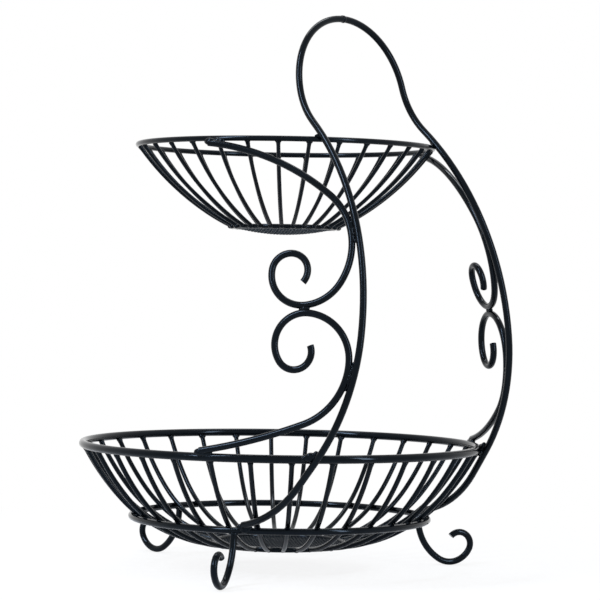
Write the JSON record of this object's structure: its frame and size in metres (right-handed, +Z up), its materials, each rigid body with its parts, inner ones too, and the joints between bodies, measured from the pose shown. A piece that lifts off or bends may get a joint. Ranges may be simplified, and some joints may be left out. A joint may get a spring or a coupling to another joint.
{
  "type": "two-tier fruit stand",
  "caption": "Free-standing two-tier wire fruit stand: open ribbed baskets joined by bowed side rods that meet in a carrying loop, on scrolled feet.",
  "frame": {"origin": "on the floor under the centre of the baskets", "axes": "+Z is up; +Y is the back, the side that the two side rods bow out to; +X is the stand's own right as seen from the front"},
  "size_m": [0.306, 0.3174, 0.4166],
  "materials": {
    "wire_black": "satin black powder coat on steel wire",
    "mesh_black": "satin black powder coat on fine steel mesh"
  },
  "bodies": {
    "root": {"lower_rim": "wire_black", "lower_base_ring": "wire_black", "lower_mesh": "mesh_black", "upper_rim": "wire_black", "upper_base_ring": "wire_black", "upper_mesh": "mesh_black", "lower_ribs_1": "wire_black", "lower_ribs_2": "wire_black", "lower_ribs_3": "wire_black", "lower_ribs_4": "wire_black", "lower_ribs_5": "wire_black", "lower_ribs_6": "wire_black", "lower_ribs_7": "wire_black", "lower_ribs_8": "wire_black", "upper_ribs_1": "wire_black", "upper_ribs_2": "wire_black", "upper_ribs_3": "wire_black", "upper_ribs_4": "wire_black", "upper_ribs_5": "wire_black", "upper_ribs_6": "wire_black", "upper_ribs_7": "wire_black", "upper_ribs_8": "wire_black", "support_ring": "wire_black", "foot_front": "wire_black", "foot_left": "wire_black", "foot_right": "wire_black", "side_rod_left": "wire_black", "side_rod_right": "wire_black", "upper_scroll_left": "wire_black", "upper_scroll_right": "wire_black", "lower_scroll_left": "wire_black", "lower_scroll_right": "wire_black"}
  },
  "joints": []
}
